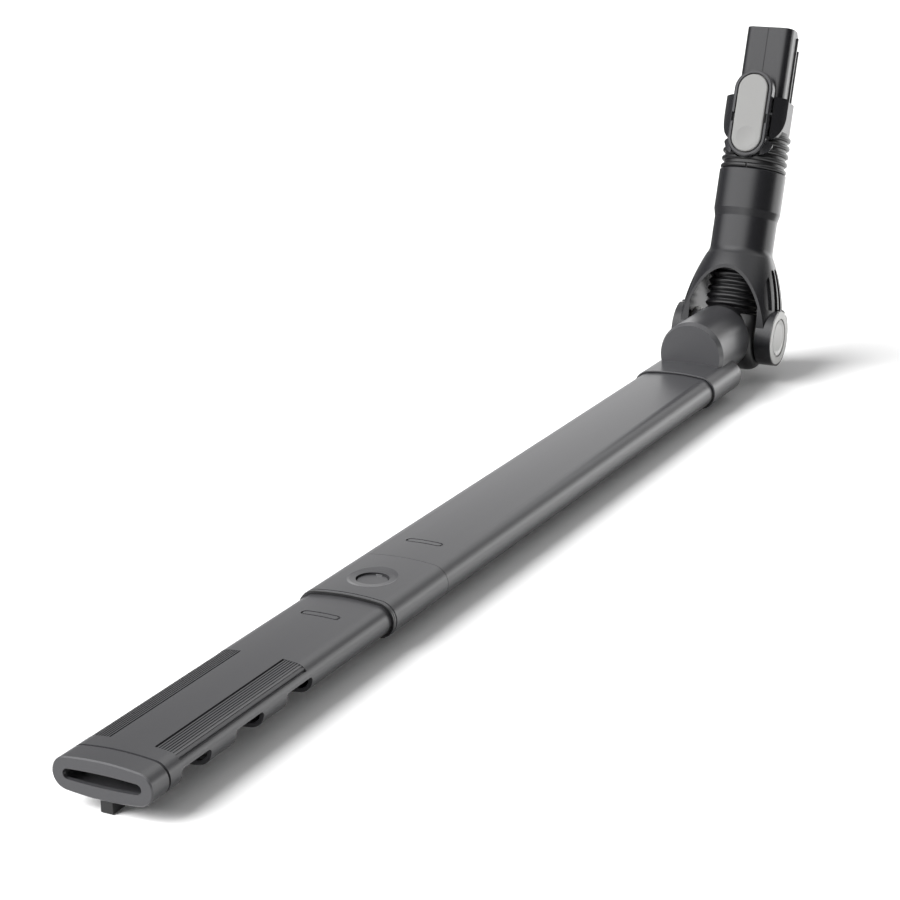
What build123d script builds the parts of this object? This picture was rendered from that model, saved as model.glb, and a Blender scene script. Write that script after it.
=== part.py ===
from build123d import *
import math
import os

# Under-appliance vacuum wand: a long flat telescoping suction tube that lies on the floor,
# an elbow with a tilting fork, and a click-in connector at the top of the handle.
# Millimetres. X is across the wand, +Y runs back towards the hinge and +Z is up.
# The origin is the middle of the heel pad, on the floor and on the centre plane.

# Where things stand
floor_to_duct = 13.8          # height of the centre of the flat tubes
floor_to_hinge = 26.5         # height of the tilt axis of the handle
heel_to_hinge = 66.0          # from the heel pad back to the tilt axis
handle_tilt = 70.4            # angle of the handle above the wand, degrees

# Flat tube section: crowned top and bottom, round sides; offsets follow from it
section_half_width = 23.2
section_half_height = 9.15
section_side_radius = 8.2
tube_wall = 1.1
slide_gap = 0.35              # nozzle tube inside the outer tube
nozzle_wall = 1.7
collar_wall = 1.25            # stands proud of the outer tube
collar_mouth_gap = 0.45       # open round the outer tube at the front of the collar
collar_mouth_depth = 1.6
seat_gap = 0.05               # between pieces that are fitted together

# Lengths along the wand, from the hinge to the mouth
hinge_to_collar = 47.0
collar_length = 44.5
outer_tube_length = 337.4
sleeve_length = 51.5
nozzle_length = 169.1
cap_gap = 1.2
cap_length = 10.7
socket_depth = 27.5           # outer tube inside the collar
lap_length = 8.0              # sleeve over the end of the outer tube
nozzle_insertion = 78.2       # nozzle tube inside the sleeve and outer tube
index_setback = 22.4          # index mark behind the sleeve
index_lead = 21.6             # index mark ahead of the sleeve
index_length = 18.4
index_width = 4.6
index_groove = 0.9
index_depth = 0.8

# Round release button in its dish
button_setback = 24.2         # behind the front of the sleeve
button_radius = 6.95
button_gap = 0.2
button_sink = 0.2             # below the top of the nozzle tube
button_height = 2.5
button_flange = 1.2           # wider than the button, keeps it in
button_travel = 1.8
button_stem_radius = 3.0
dish_radius = 12.8
dish_depth = 0.85
window_radius = 7.4
spring_thickness = 0.5
spring_half_width = 3.6
tooth_half_width = 1.5

# Nozzle details
strip_inner_x = 9.6
strip_outer_x = 20.4
strip_length = 91.8
strip_setback = 8.3           # behind the front of the nozzle tube
strip_depth = 0.8
strip_base = 0.35
strip_rib_height = 0.3
strip_border = 0.95
strip_floor_z = 3.0           # lowest reach of the strip, above the duct centre
rib_count = 8
rib_width = 0.55
notch_count = 3
notch_length = 19.8
notch_pitch = 37.5
notch_setback = 7.4
notch_top = 1.2               # above the duct centre
notch_inner_x = 9.5
notch_corner = 1.5
mouth_half_width = 16.9
mouth_half_height = 2.6
mouth_side_radius = 2.1
cap_plug_length = 6.0
cap_face = 2.0
plug_wall = 1.2
guide_length = 6.0
guide_gap = 0.08
foot_half_width = 2.6
foot_setback = 2.4
foot_length = 7.8
foot_seat = 1.0

# Sleeve lip and the rubber seal that closes its front
lip_setback = 1.8
lip_groove = 0.9
lip_groove_depth = 0.3
seal_flange = 0.8
seal_step = 0.15              # the seal's flange below the sleeve's skin
seal_length = 4.0
seal_height = 0.45

# Elbow and hinge
chamber_rise = 1.46           # centre of the round chamber above the tilt axis
chamber_radius = 19.3
chamber_wall = 1.9
nose_radius = 18.0
nose_reach = 67.65            # from the hinge to the flat front of the chamber
nose_bevel = 3.65
nose_wall = 2.3
chamber_rear = 20.0           # from the hinge to the rear edge of the chamber
barrel_radius = 21.0
barrel_round = 7.0
barrel_wall = 3.6
barrel_top = 10.4             # flat top under the hose
neck_radius = 18.2
neck_wall = 2.6
neck_insertion = 16.0
heel_half_width = 12.0
heel_length = 36.0
trunnion_radius = 8.05
running_gap = 0.05
washer_outer_radius = 13.5
washer_thickness = 0.9
pivot_screw_radius = 1.95
pivot_screw_length = 7.5
screw_flange_radius = 10.5
screw_flange = 1.0
screw_head_radius = 5.0
screw_head = 1.4
cap_head_gap = 0.25           # between the screw's head and the hub cap

# Fork
fork_half_gap = 21.3
hub_radius = 16.9
hub_half_width = 31.1
fork_front = 16.0             # flat front of the arms, in front of the tilt axis
fork_lean = 11.1              # how far that front leans out, degrees, until it leaves the bell
bell_wall = 1.2
bell_sag = 3.65               # the bell's side, in from the hub face, at its middle height
bell_middle = 26.2
bell_flare = 1.5
bell_flare_height = 4.5
hub_proud = 0.1               # hub face beyond the bell
hub_cap_radius = 16.0
hub_cap_depth = 1.9
hub_cap_proud = 0.2
hub_pocket_radius = 12.0
hub_ring_radius = 11.5
hub_disc_radius = 10.4
hub_disc_dish = 0.7
lower_tube_radius = 18.9
tube_bore_radius = 17.4
bell_top = 50.5
flute_depth = 1.9
leaf_flute_depth = 1.5
flute_bottom = 14.6
flute_angles = (-12.2, -1.0, 12.2)     # straight flutes, round the handle from straight out to the side
flute_half_widths = (1.8, 1.9, 1.8)
flute_tops = (39.5, 40.6, 39.5)
leaf_flute_angle = 26.0                # leaf-shaped flutes nearest the arches
leaf_flute_height = 19.8
leaf_flute_belly = 4.4
leaf_flute_belly_height = 7.2
leaf_flute_foot = 2.4
leaf_flute_heel = 2.8

# Upper handle
upper_tube_radius = 20.0
upper_tube_bottom = 69.0
upper_tube_chamfer = 4.5
upper_tube_top = 97.5
hose_radius = 17.0
hose_valley = 15.7
hose_wall = 0.9
hose_pitch = 4.4
hose_rings = 8
hose_bottom = 9.6
cuff_length = 5.5
upper_cuff_length = 12.0
boot_radius = 19.8
boot_valley = 18.2
boot_band = 0.2
boot_pitch = 4.9
boot_rings = 5
boot_flat = 16.2
boot_clearance = 0.9
boot_tick_x = 1.6
boot_tick_width = 0.9
connector_tail = 19.0
connector_bore = 13.6
neck_tube_radius = 15.5
oring_radius = 0.8

# Connector
cuff_top = 141.0
cuff_half_width = 17.0
cuff_front = 12.0
cuff_corner = 4.0
ear_radius = 22.4
ear_back = 11.0
ear_outer_x = 19.5
ear_inner_x = 12.7
ear_bottom = 115.6
ear_round_height = 15.0
spigot_top = 184.3
spigot_half_width = 14.4
spigot_front = 10.0
spigot_back = 11.0
spigot_corner = 5.5
spigot_wall = 2.0
spigot_bevel = 9.5
seam_width = 0.5
seam_depth = 0.4
seam_start = 10.0             # above the foot of the spigot
rail_width = 1.3
rail_height = 0.8
rail_places = ((3.2, 181.0), (7.2, 174.0))

# Latch lever
lever_half_width = 11.8
lever_half_length = 26.0
lever_middle = 129.7
lever_front = 22.2
lever_thin_back = 18.8
lever_deep_back = 16.8
lever_floor = 1.6
lever_skirt_radius = 17.2     # the lower end wraps back to this distance from the tube's axis
lever_skirt_wall = 2.0
lever_skirt_top = 120.0
lever_skirt_corner = 112.5
lever_pivot = 131.0
lever_pivot_front = 14.6
lever_pin_radius = 1.2
lever_pin_half_length = 15.2
wing_clearance = 0.9          # the lever's wings outside the boot
wing_wall = 1.3
wing_reach = 3.1              # beyond the side of the lever
wing_top = 15.5               # heights above the lever's lower end
wing_tip = 8.9
wing_low = 1.8
lug_radius = 2.4
lug_width = 3.2
pad_rim = 2.7
pad_gap = 0.75
pad_proud = 0.7
pad_round = 0.9
clip_window = 5.5
hook_half_width = 3.0
hook_reach = 5.2
hook_setback = 3.0
hook_thickness = 2.4
leaf_thickness = 0.4
leaf_half_width = 3.5

# Stations along Y
hinge_y = heel_to_hinge
collar_rear_y = hinge_y - hinge_to_collar
collar_front_y = collar_rear_y - collar_length
sleeve_rear_y = collar_front_y - outer_tube_length
sleeve_front_y = sleeve_rear_y - sleeve_length
nozzle_rear_y = sleeve_front_y + nozzle_insertion
nozzle_front_y = sleeve_front_y - nozzle_length
cap_rear_y = nozzle_front_y - cap_gap
cap_front_y = cap_rear_y - cap_length
button_y = sleeve_front_y + button_setback
nozzle_inset = tube_wall + slide_gap
duct_inset = nozzle_inset + nozzle_wall
chamber_z = floor_to_hinge + chamber_rise
chamber_bore = chamber_radius - chamber_wall

# Stations along the tilt axis: the hub's face places the cap, the screw and the trunnion's end
barrel_half_width = fork_half_gap - washer_thickness - 2 * seat_gap
hub_floor = hub_half_width - hub_cap_depth
trunnion_end = hub_floor - cap_head_gap - screw_head - screw_flange - seat_gap
web_face = trunnion_end - 2 * seat_gap
big = 200.0

# The handle's own frame: its Z runs up the handle and its -Y faces the front
tilt = math.radians(handle_tilt)
handle_frame = Plane(
    origin=(0, hinge_y, floor_to_hinge),
    x_dir=(1, 0, 0),
    z_dir=(0, math.cos(tilt), math.sin(tilt)),
)


def cut_all(solid, cutters):
    """Take each cutter away from the solid."""
    for cutter in cutters:
        solid = solid - cutter
    return solid


def lens(half_width, half_height, side_radius):
    """Flat tube outline: two shallow crowns that run tangent into round sides."""
    side_x = half_width - side_radius
    crown_radius = (side_x**2 + half_height**2 - side_radius**2) / (2 * (half_height - side_radius))
    turn = math.atan2(side_x, crown_radius - half_height)
    join_x = side_x + side_radius * math.sin(turn)
    join_y = side_radius * math.cos(turn)
    return make_face([
        ThreePointArc((-join_x, join_y), (0, half_height), (join_x, join_y)),
        ThreePointArc((join_x, join_y), (half_width, 0), (join_x, -join_y)),
        ThreePointArc((join_x, -join_y), (0, -half_height), (-join_x, -join_y)),
        ThreePointArc((-join_x, -join_y), (-half_width, 0), (-join_x, join_y)),
    ])


def flat_outline(inset):
    """The wand's section, moved in by inset all round."""
    return lens(section_half_width - inset, section_half_height - inset, section_side_radius - inset)


def along_wand(outline, rear_y, front_y, height=floor_to_duct):
    """Extrude an outline that faces the mouth, from rear_y forward to front_y."""
    start = Plane(origin=(0, rear_y, height), x_dir=(1, 0, 0), z_dir=(0, -1, 0))
    return extrude(start * outline, amount=rear_y - front_y)


def flat_body(inset, rear_y, front_y):
    """Solid of the wand's section between two stations."""
    return along_wand(flat_outline(inset), rear_y, front_y)


def box_between(low, high):
    """Box from its low corner to its high corner."""
    size = [b - a for a, b in zip(low, high)]
    middle = [(a + b) / 2 for a, b in zip(low, high)]
    return Pos(*middle) * Box(*size)


def rod_x(radius, low_x, high_x, y=0.0, z=0.0):
    """Cylinder along X."""
    middle = (low_x + high_x) / 2
    return Pos(middle, y, z) * Rot(0, 90, 0) * Cylinder(radius, high_x - low_x)


def rod_y(radius, rear_y, front_y, z):
    """Cylinder along the wand."""
    return along_wand(Circle(radius), rear_y, front_y, z)


def rod_z(radius, low_z, high_z, y=0.0):
    """Upright cylinder."""
    return Pos(0, y, (low_z + high_z) / 2) * Cylinder(radius, high_z - low_z)


def turned(points):
    """Revolve an outline of (radius, height) points about the Z axis."""
    return revolve(Plane.XZ * make_face(Polyline(*points, close=True)), Axis.Z)


def stadium_up(half_width, half_length, middle, back, front):
    """Upright stadium plate in the handle frame, between two distances in front of the axis."""
    start = Plane(origin=(0, -back, middle), x_dir=(0, 0, 1), z_dir=(0, -1, 0))
    return extrude(start * SlotOverall(2 * half_length, 2 * half_width), amount=front - back)


def index_groove_cutter(y, inset):
    """Shallow groove round a pill shape across the crown, a mark for lining the tubes up."""
    top = floor_to_duct + section_half_height - inset
    ring = SlotOverall(index_length, index_width)
    ring -= SlotOverall(index_length - 2 * index_groove, index_width - 2 * index_groove)
    return extrude(Pos(0, y, top - index_depth) * ring, amount=2 * index_depth)


def outer_tube():
    rear_y = collar_front_y + socket_depth
    tube = flat_body(0, rear_y, sleeve_rear_y)
    tube += flat_body(tube_wall / 2 + seat_gap, sleeve_rear_y, sleeve_rear_y - lap_length)
    tube -= flat_body(tube_wall, rear_y, sleeve_rear_y - lap_length)
    return tube - index_groove_cutter(sleeve_rear_y + index_setback, 0)


def latch_sleeve():
    rear_y = sleeve_rear_y - cap_gap / 4
    front_y = sleeve_front_y + seal_flange + seat_gap
    sleeve = flat_body(0, rear_y, front_y)
    front_edges = sleeve.faces().sort_by(Axis.Y)[0].edges()
    sleeve = chamfer(front_edges, tube_wall / 5)
    lip_y = sleeve_front_y + lip_setback
    groove = flat_body(-1, lip_y + lip_groove, lip_y)
    groove -= flat_body(lip_groove_depth, lip_y + lip_groove, lip_y)
    seal_rear_y = sleeve_front_y + seal_length
    top = floor_to_duct + section_half_height
    dish_centre = Pos(0, button_y, top)
    bowl = turned([
        (0, 2), (dish_radius, 2), (dish_radius, 0),
        ((dish_radius + window_radius) / 2, -dish_depth * 0.72),
        (window_radius, -dish_depth), (0, -dish_depth),
    ])
    return cut_all(sleeve, [
        flat_body(tube_wall, rear_y, sleeve_front_y),
        flat_body(tube_wall / 2, rear_y, sleeve_rear_y - lap_length - seat_gap),
        flat_body(tube_wall - seal_height, seal_rear_y, sleeve_front_y),
        groove,
        dish_centre * bowl,
        rod_z(window_radius, floor_to_duct, top + 1, button_y),
    ])


def sleeve_seal():
    rear_y = sleeve_front_y + seal_length - seat_gap
    ring = flat_body(tube_wall - seal_height + seat_gap, rear_y, sleeve_front_y)
    ring += flat_body(seal_step, sleeve_front_y + seal_flange, sleeve_front_y)
    return ring - flat_body(nozzle_inset - slide_gap / 2, rear_y, sleeve_front_y)


def strip_band(side, top_inset, floor_inset, low_x, high_x, rear_y, front_y):
    """Part of the nozzle's skin between two depths and two distances from the centre plane."""
    skin = flat_body(top_inset, rear_y, front_y) - flat_body(floor_inset, rear_y, front_y)
    xs = sorted([side * low_x, side * high_x])
    low_z = floor_to_duct + strip_floor_z
    return skin & box_between((xs[0], front_y, low_z), (xs[1], rear_y, low_z + big))


def notch_cutters():
    """Air notches up through the lower side walls, with rounded upper corners."""
    cutters = []
    for index in range(notch_count):
        middle_y = nozzle_front_y + notch_setback + notch_length / 2 + index * notch_pitch
        height = notch_top + section_half_height + 3
        middle_z = floor_to_duct + notch_top - height / 2
        profile = Rectangle(notch_length, height)
        profile = fillet(profile.vertices().group_by(Axis.Y)[-1], notch_corner)
        for side in (-1, 1):
            start = Plane(origin=(side * notch_inner_x, middle_y, middle_z), x_dir=(0, 1, 0), z_dir=(1, 0, 0))
            cutters.append(extrude(start * profile, amount=side * section_half_width))
    return cutters


def nozzle_tube():
    tube = flat_body(nozzle_inset, nozzle_rear_y, nozzle_front_y)
    front_y = nozzle_front_y + strip_setback
    channels = [
        strip_band(side, nozzle_inset - 1, nozzle_inset + strip_depth,
                   strip_inner_x, strip_outer_x, front_y + strip_length, front_y)
        for side in (-1, 1)
    ]
    top = floor_to_duct + section_half_height
    return cut_all(tube, [
        flat_body(duct_inset, nozzle_rear_y, nozzle_front_y),
        *channels,
        *notch_cutters(),
        index_groove_cutter(sleeve_front_y - index_lead, nozzle_inset),
        rod_z(button_radius + button_gap, floor_to_duct, top, button_y),
    ])


def ribbed_strip(side):
    front_y = nozzle_front_y + strip_setback + seat_gap
    rear_y = front_y + strip_length - 2 * seat_gap
    floor_inset = nozzle_inset + strip_depth - seat_gap / 5
    base_inset = floor_inset - strip_base
    low_x = strip_inner_x + strip_border
    high_x = strip_outer_x - strip_border
    strip = strip_band(side, base_inset, floor_inset, low_x, high_x, rear_y, front_y)
    ribs = strip_band(side, base_inset - strip_rib_height, base_inset, low_x, high_x, rear_y, front_y)
    pitch = (high_x - low_x - rib_width) / (rib_count - 1)
    for index in range(rib_count - 1):
        gap_low = low_x + rib_width + index * pitch
        xs = sorted([side * gap_low, side * (gap_low + pitch - rib_width)])
        ribs -= box_between((xs[0], front_y - 1, 0), (xs[1], rear_y + 1, big))
    return strip + ribs


def guide_ring():
    ring = flat_body(tube_wall + guide_gap, nozzle_rear_y + guide_length, nozzle_rear_y)
    ring += flat_body(duct_inset + seat_gap, nozzle_rear_y, nozzle_rear_y - guide_length)
    return ring - flat_body(duct_inset + plug_wall, nozzle_rear_y + guide_length, nozzle_rear_y - guide_length)


def foot_block(clearance):
    """The skid foot's outline, from the floor up into the cap."""
    front_y = cap_front_y + foot_setback - clearance
    rear_y = cap_front_y + foot_setback + foot_length + clearance
    top = floor_to_duct - section_half_height + nozzle_inset + foot_seat + clearance
    half = foot_half_width + clearance
    return box_between((-half, front_y, 0), (half, rear_y, top))


def end_cap():
    cap = flat_body(nozzle_inset, cap_rear_y, cap_front_y)
    cap = chamfer(cap.faces().sort_by(Axis.Y)[0].edges(), 0.5)
    plug_rear_y = nozzle_front_y + cap_plug_length
    cap += flat_body(duct_inset + seat_gap, plug_rear_y, cap_rear_y)
    mouth = lens(mouth_half_width, mouth_half_height, mouth_side_radius)
    return cut_all(cap, [
        flat_body(duct_inset + plug_wall, plug_rear_y, cap_front_y + cap_face),
        along_wand(mouth, cap_rear_y, cap_front_y),
        foot_block(seat_gap),
    ])


def skid_foot():
    foot = foot_block(0)
    return chamfer(foot.faces().sort_by(Axis.Z)[0].edges(), 0.4)


def tooth_slot(clearance):
    """Where the spring's tooth stands up behind the button."""
    low_y = button_y + button_radius - 2 * spring_thickness - clearance
    high_y = low_y + spring_thickness + 2 * clearance + (big if clearance else 0)
    half = tooth_half_width + clearance
    return low_y, high_y, half


def release_button():
    top = floor_to_duct + section_half_height - nozzle_inset - button_sink
    duct_top = floor_to_duct + section_half_height - duct_inset
    flange_radius = button_radius + button_flange
    flange_top = duct_top - 2 * button_gap
    flange_low = top - button_height - button_flange / 2
    button = rod_z(button_radius, flange_low, top, button_y)
    button = chamfer(button.faces().sort_by(Axis.Z)[-1].edges(), 0.3)
    button += rod_z(flange_radius, flange_low, flange_top, button_y)
    button += rod_z(button_stem_radius, spring_top(), flange_low, button_y)
    low_y, high_y, half = tooth_slot(button_gap)
    return button - box_between((-half, low_y, 0), (half, high_y, big))


def spring_top():
    """Height of the snap spring's flat under the button."""
    top = floor_to_duct + section_half_height - nozzle_inset - button_sink
    return top - button_height - button_flange / 2 - button_travel - spring_thickness


def snap_spring():
    """Bent leaf: a foot on the duct floor, a ramp, a flat under the button and a locking tooth."""
    floor_z = floor_to_duct - section_half_height + duct_inset + 2 * seat_gap
    flat_z = spring_top() - spring_thickness
    rear_y = button_y - 3 * button_stem_radius
    front_y = rear_y - 4 * button_stem_radius
    low_y, high_y, half = tooth_slot(0)
    ramp_rise = flat_z - floor_z
    leaf = make_face(Polyline(
        (front_y - 8, floor_z), (front_y, floor_z), (rear_y, floor_z + ramp_rise), (high_y, flat_z),
        (high_y, flat_z + spring_thickness), (rear_y, flat_z + spring_thickness),
        (front_y, floor_z + spring_thickness), (front_y - 8, floor_z + spring_thickness), close=True,
    ))
    start = Plane(origin=(-spring_half_width, 0, 0), x_dir=(0, 1, 0), z_dir=(1, 0, 0))
    leaf = extrude(start * leaf, amount=2 * spring_half_width)
    tooth_top = floor_to_duct + section_half_height - tube_wall - button_gap
    return leaf + box_between((-half, low_y, flat_z), (half, high_y, tooth_top))


def elbow_housing():
    """Collar for the flat tube, with the round elbow chamber and the heel pad in one moulding."""
    collar = flat_body(-collar_wall, collar_rear_y, collar_front_y)
    collar = chamfer(collar.faces().sort_by(Axis.Y)[0].edges(), collar_wall / 4)
    rear_y = hinge_y - chamber_rear
    nose_y = hinge_y - nose_reach
    chamber = rod_y(chamber_radius, rear_y, nose_y + nose_bevel, chamber_z)
    bevel_plane = Plane(origin=(0, nose_y + nose_bevel, chamber_z), x_dir=(1, 0, 0), z_dir=(0, -1, 0))
    nose_plane = Plane(origin=(0, nose_y, chamber_z), x_dir=(1, 0, 0), z_dir=(0, -1, 0))
    nose = loft([bevel_plane * Circle(chamber_radius), nose_plane * Circle(nose_radius)])
    heel = box_between((-heel_half_width, -heel_length / 2, 0), (heel_half_width, heel_length / 2, floor_to_duct))
    heel = fillet(heel.edges().filter_by(Axis.Z), 3)
    low = box_between((-big, -big, 0), (big, big, chamber_z))
    heel_top = heel & flat_body(-collar_wall, collar_rear_y, collar_front_y)
    shell = collar + chamber + nose + (heel - heel_top)
    tube_rear_y = collar_front_y + socket_depth + seat_gap
    return cut_all(shell, [
        flat_body(-seat_gap, tube_rear_y, collar_front_y),
        flat_body(-collar_mouth_gap, collar_front_y + collar_mouth_depth, collar_front_y),
        flat_body(tube_wall, collar_rear_y - collar_wall * 2, collar_front_y),
        rod_y(chamber_bore, rear_y, nose_y + nose_bevel + nose_wall, chamber_z),
    ])


def hinge_barrel():
    """Black hinge barrel: a rounded drum on trunnions, open to the chamber and to the hose."""
    drum = rod_x(barrel_radius, -barrel_half_width, barrel_half_width, hinge_y, floor_to_hinge)
    drum = fillet(drum.edges().filter_by(GeomType.CIRCLE), barrel_round)
    drum -= handle_frame * box_between((-big, -big, barrel_top), (big, big, big))
    rear_y = hinge_y
    neck_y = hinge_y - chamber_rear + seat_gap
    tail_y = neck_y - neck_insertion
    drum += rod_y(neck_radius, rear_y, neck_y, chamber_z)
    drum += rod_y(chamber_bore - seat_gap, rear_y, tail_y, chamber_z)
    reach = trunnion_end
    drum += rod_x(trunnion_radius, -reach, reach, hinge_y, floor_to_hinge)
    pilot = pivot_screw_radius + seat_gap
    inside = barrel_radius - barrel_wall
    drum -= rod_y(neck_radius - neck_wall, rear_y, tail_y, chamber_z)
    drum -= Pos(0, hinge_y, floor_to_hinge) * Sphere(inside)
    drum -= handle_frame * rod_z(tube_bore_radius, 0, barrel_radius * 2)
    drum -= rod_x(pilot, reach - pivot_screw_length - seat_gap, reach, hinge_y, floor_to_hinge)
    drum -= rod_x(pilot, -reach, -reach + pivot_screw_length + seat_gap, hinge_y, floor_to_hinge)
    groove_y = (neck_y + tail_y) / 2
    return drum - seal_ring_space(groove_y)


def seal_ring_space(y):
    """Groove for the round seal on the barrel's tail."""
    outer = rod_y(chamber_bore + 1, y + oring_radius, y - oring_radius, chamber_z)
    return outer - rod_y(chamber_bore - 2 * oring_radius, y + oring_radius, y - oring_radius, chamber_z)


def barrel_seal():
    neck_y = hinge_y - chamber_rear + seat_gap
    y = neck_y - neck_insertion / 2
    ring_plane = Plane(origin=(0, y, chamber_z), x_dir=(1, 0, 0), z_dir=(0, -1, 0))
    return ring_plane * Torus(chamber_bore - oring_radius, oring_radius - seat_gap)


def pivot_screw(side):
    reach = side * (trunnion_end + seat_gap)
    flange_end = reach + side * screw_flange
    parts = [
        (pivot_screw_radius, reach - side * pivot_screw_length, reach),
        (screw_flange_radius, reach, flange_end),
        (screw_head_radius, flange_end, flange_end + side * screw_head),
    ]
    screw = None
    for radius, inner, outer in parts:
        piece = rod_x(radius, min(inner, outer), max(inner, outer), hinge_y, floor_to_hinge)
        screw = piece if screw is None else screw + piece
    tip = flange_end + side * screw_head
    for turn in (0, 90):
        slot = Pos(tip, hinge_y, floor_to_hinge) * Rot(turn, 0, 0) * Box(1.6, 5, 0.9)
        screw -= slot
    return screw


def friction_washer(side):
    inner = barrel_half_width + seat_gap
    ends = sorted([side * inner, side * (inner + washer_thickness)])
    washer = rod_x(washer_outer_radius, ends[0], ends[1])
    washer -= rod_x(trunnion_radius + running_gap, ends[0], ends[1])
    return handle_frame * washer


def bell(grow=0.0):
    """The fork's bell: the tube swells out to the hubs, a body of revolution before it is cut."""
    neck = (lower_tube_radius + grow, bell_top)
    swell = (neck[0] + 0.27 * bell_flare, bell_top - 0.53 * bell_flare_height)
    shoulder = (neck[0] + bell_flare, bell_top - bell_flare_height)
    middle = (hub_half_width - bell_sag + grow, bell_middle)
    hub_edge = (hub_half_width - hub_proud + grow, 0)
    outline = make_face([
        Line((0, bell_top), neck),
        ThreePointArc(neck, swell, shoulder),
        ThreePointArc(shoulder, middle, hub_edge),
        Line(hub_edge, (hub_edge[0], -hub_radius)),
        Line((hub_edge[0], -hub_radius), (0, -hub_radius)),
        Line((0, -hub_radius), (0, bell_top)),
    ])
    return revolve(Plane.XZ * outline, Axis.Z)


def arm_profile():
    """Side view of the fork: round hubs, and flat fronts that lean out until they leave the bell."""
    top = bell_top + 1
    front_top = fork_front + top * math.tan(math.radians(fork_lean))
    outline = make_face(Polyline(
        (-fork_front, 0), (-front_top, top), (front_top, top), (fork_front, 0), close=True,
    ))
    outline += Circle(hub_radius)
    start = Plane(origin=(-big / 4, 0, 0), x_dir=(0, 1, 0), z_dir=(1, 0, 0))
    return extrude(start * outline, amount=big / 2)


def fork_cavity():
    """Hollow between the arms: the bell's inside, no wider than the gap that the hinge fills."""
    half = fork_half_gap
    slab = box_between((-half, -big, -big), (half, big, bell_top + 1))
    below = box_between((-half, -big, -big), (half, big, 0))
    return (bell(-bell_wall) & slab) + below


def flute_cutters():
    """Rounded flutes down the outside of both arms, following the bell at one depth."""
    core = bell(-flute_depth)
    reach = hub_half_width + 5
    start = Plane(origin=(0, 0, flute_bottom), x_dir=(0, 1, 0), z_dir=(1, 0, 0))
    right = []
    for angle, half, top in zip(flute_angles, flute_half_widths, flute_tops):
        height = top - flute_bottom
        face = Pos(0, (height - half) / 2) * Rectangle(2 * half, height - half)
        face += Pos(0, height - half) * Circle(half)
        right.append(Rot(0, 0, angle) * extrude(start * face, amount=reach))
    right = [cutter - core for cutter in right]
    leaf = Rot(0, 0, -leaf_flute_angle) * extrude(start * leaf_outline(), amount=reach)
    leaf = leaf - bell(-leaf_flute_depth)
    right += [leaf, mirror(leaf, about=Plane.XZ)]
    return right + [mirror(cutter, about=Plane.YZ) for cutter in right]


def leaf_outline():
    """Leaf flute: a straight rear edge and a belly towards the arch, closing to a rounded tip."""
    height = leaf_flute_height
    foot = (-leaf_flute_foot, 0)
    belly = (-leaf_flute_belly, leaf_flute_belly_height)
    tip_front = (-0.1, height - 0.5)
    tip_rear = (1.1, height - 0.6)
    heel = (leaf_flute_heel, 0)
    return make_face([
        ThreePointArc(foot, belly, tip_front),
        ThreePointArc(tip_front, (0.55, height), tip_rear),
        Line(tip_rear, heel),
        Line(heel, foot),
    ])


def yoke():
    """Fork and lower tube in one moulding."""
    tube_top = upper_tube_top - seat_gap - 1
    body = bell() & arm_profile()
    body += rod_z(lower_tube_radius, bell_top - 0.01, tube_top)
    for side in (-1, 1):
        ends = sorted([side * fork_half_gap, side * hub_half_width])
        body += rod_x(hub_radius, ends[0], ends[1])
    body = cut_all(body, flute_cutters())
    body = cut_all(body, [fork_cavity(), rod_z(tube_bore_radius, 0, tube_top)])
    for side in (-1, 1):
        for radius, inner, outer in (
            (trunnion_radius + running_gap, fork_half_gap - 1, web_face),
            (hub_pocket_radius, web_face, hub_floor + 1),
            (hub_cap_radius + seat_gap, hub_floor, hub_half_width + 1),
        ):
            ends = sorted([side * inner, side * outer])
            body -= rod_x(radius, ends[0], ends[1])
    return handle_frame * body


def hub_cap(side):
    """Bright cap over the pivot: a flat rim, a dark ring groove and a dished middle."""
    floor = hub_floor + seat_gap
    face = hub_half_width + hub_cap_proud
    cap = turned([
        (0, floor), (hub_cap_radius, floor), (hub_cap_radius, face - 0.4), (hub_cap_radius - 0.4, face),
        (hub_ring_radius, face), (hub_ring_radius, face - 0.9), (hub_disc_radius, face - 0.9),
        (hub_disc_radius, face - 0.2), (hub_disc_radius - 2.2, face - hub_disc_dish), (0, face - hub_disc_dish),
    ])
    peg = rod_z(hub_pocket_radius - seat_gap, floor - 0.6, floor)
    peg -= rod_z(hub_pocket_radius - 1.2, floor - 0.6, floor)
    return handle_frame * Rot(0, side * 90, 0) * (cap + peg)


def tube_sleeve():
    """Thicker upper tube over the lower one, with a chamfered step."""
    inner = lower_tube_radius + seat_gap
    sleeve = turned([
        (inner, upper_tube_bottom), (upper_tube_radius, upper_tube_bottom + upper_tube_chamfer),
        (upper_tube_radius, upper_tube_top - 0.5), (upper_tube_radius - 0.5, upper_tube_top),
        (tube_bore_radius + seat_gap, upper_tube_top), (tube_bore_radius + seat_gap, upper_tube_top - 1),
        (inner, upper_tube_top - 1),
    ])
    return handle_frame * sleeve


def ring_points(bottom, pitch, count, crest, valley):
    """Outline points of count round rings, one above the other."""
    points = []
    for index in range(count):
        low = bottom + index * pitch
        points += [
            (valley, low), (crest, low + pitch * 0.22), (crest, low + pitch * 0.56), (valley, low + pitch * 0.78),
        ]
    return points


def flex_hose():
    """Corrugated hose from the barrel up into the tube; its wall follows the rings."""
    outer = ring_points(hose_bottom, hose_pitch, hose_rings, hose_radius, hose_valley)
    top = hose_bottom + hose_rings * hose_pitch
    outer.append((hose_valley, top))
    inner_valley = hose_valley - hose_wall
    points = outer + [(inner_valley, top), (inner_valley, hose_bottom)]
    return handle_frame * turned(points)


def hose_lower_cuff():
    bottom = hose_bottom - cuff_length
    ring = rod_z(tube_bore_radius - seat_gap, bottom, hose_bottom)
    return handle_frame * (ring - rod_z(hose_valley - hose_wall, bottom, hose_bottom))


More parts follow.
